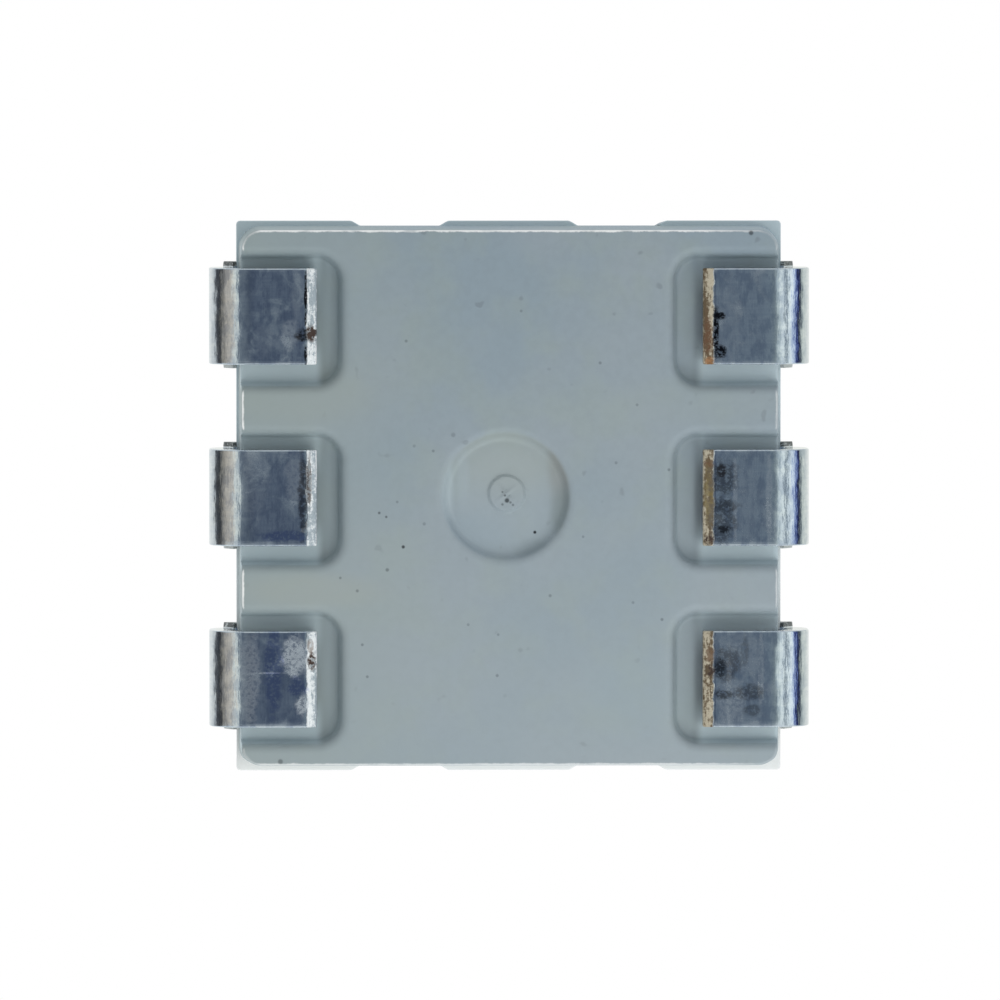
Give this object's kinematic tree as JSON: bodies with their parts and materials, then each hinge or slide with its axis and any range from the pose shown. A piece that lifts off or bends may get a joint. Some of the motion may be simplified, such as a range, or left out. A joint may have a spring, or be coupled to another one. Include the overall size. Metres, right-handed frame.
{
  "type": "surface-mount light-emitting diode",
  "caption": "Square surface-mount light-emitting diode: moulded housing with a round filled cup and leads folded under two sides into recesses, with a round gate dimple underneath.",
  "frame": {"origin": "on the solder plane under the feet, below the middle of the body", "axes": "+Z is the way the light leaves, +X runs from the row of leads 1 to 3 to the row of leads 4 to 6, +Y runs along the rows from lead 1 to lead 3"},
  "size_m": [0.0054, 0.005, 0.0016],
  "materials": {
    "housing": "satin",
    "lead": "satin",
    "red_die": "gloss",
    "clear_die": "gloss",
    "die_attach": "matte",
    "bond_wire": "polished",
    "encapsulant": "gloss"
  },
  "bodies": {
    "root": {"housing": "housing", "lead_1": "lead", "lead_2": "lead", "lead_3": "lead", "lead_4": "lead", "lead_5": "lead", "lead_6": "lead", "green_die": "clear_die", "green_die_attach": "die_attach", "green_bond_wire": "bond_wire", "green_return_wire": "bond_wire", "red_die": "red_die", "red_die_attach": "die_attach", "red_bond_wire": "bond_wire", "blue_die": "clear_die", "blue_die_attach": "die_attach", "blue_bond_wire": "bond_wire", "blue_return_wire": "bond_wire", "encapsulant": "encapsulant"}
  },
  "joints": []
}
